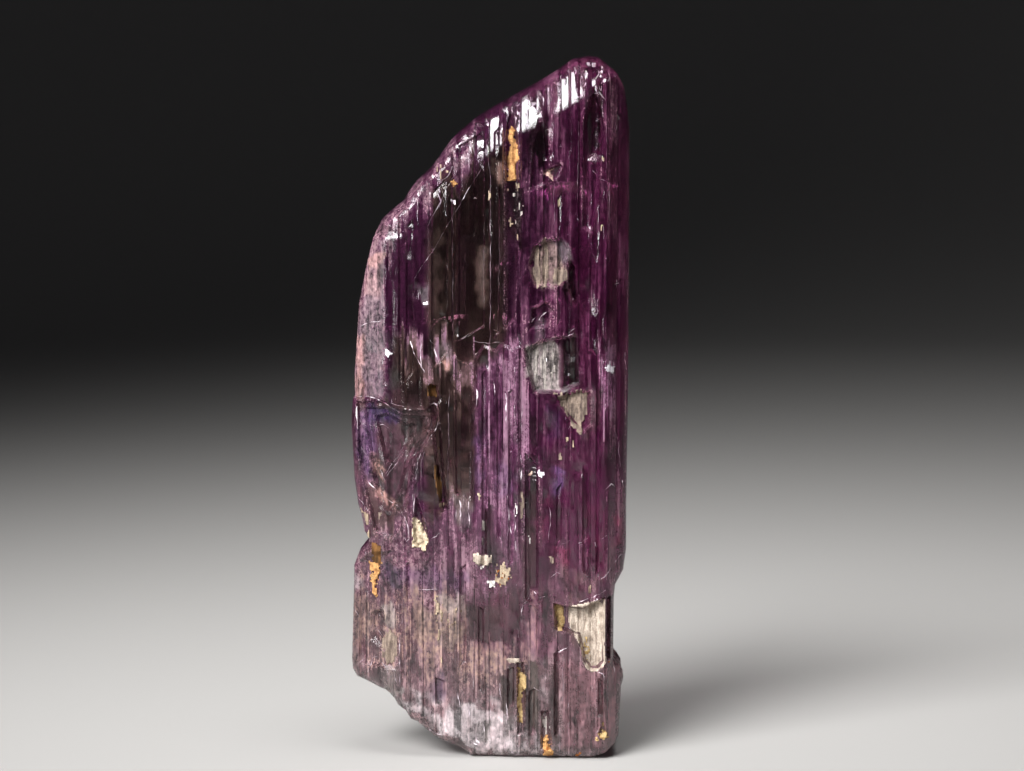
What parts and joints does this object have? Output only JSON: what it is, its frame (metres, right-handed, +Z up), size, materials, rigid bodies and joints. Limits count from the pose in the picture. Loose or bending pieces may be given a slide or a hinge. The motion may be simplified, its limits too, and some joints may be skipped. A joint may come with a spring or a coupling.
{
  "type": "kunzite crystal",
  "caption": "Upright bladed crystal of clear violet kunzite with ridged faces, a slanting rounded tip and a paler worn foot it stands on.",
  "frame": {"origin": "centre of the bounding box's bottom face, on the surface it stands on", "axes": "+Z up along the crystal's length, -Y towards the broad front face in the picture, +X to the right in the picture, where the tip is highest"},
  "size_m": [0.0298, 0.0128, 0.075],
  "materials": {
    "kunzite": "clear violet crystal, glassy on the ridges and frosted where it is etched"
  },
  "bodies": {
    "root": {"kunzite_crystal": "kunzite"}
  },
  "joints": []
}
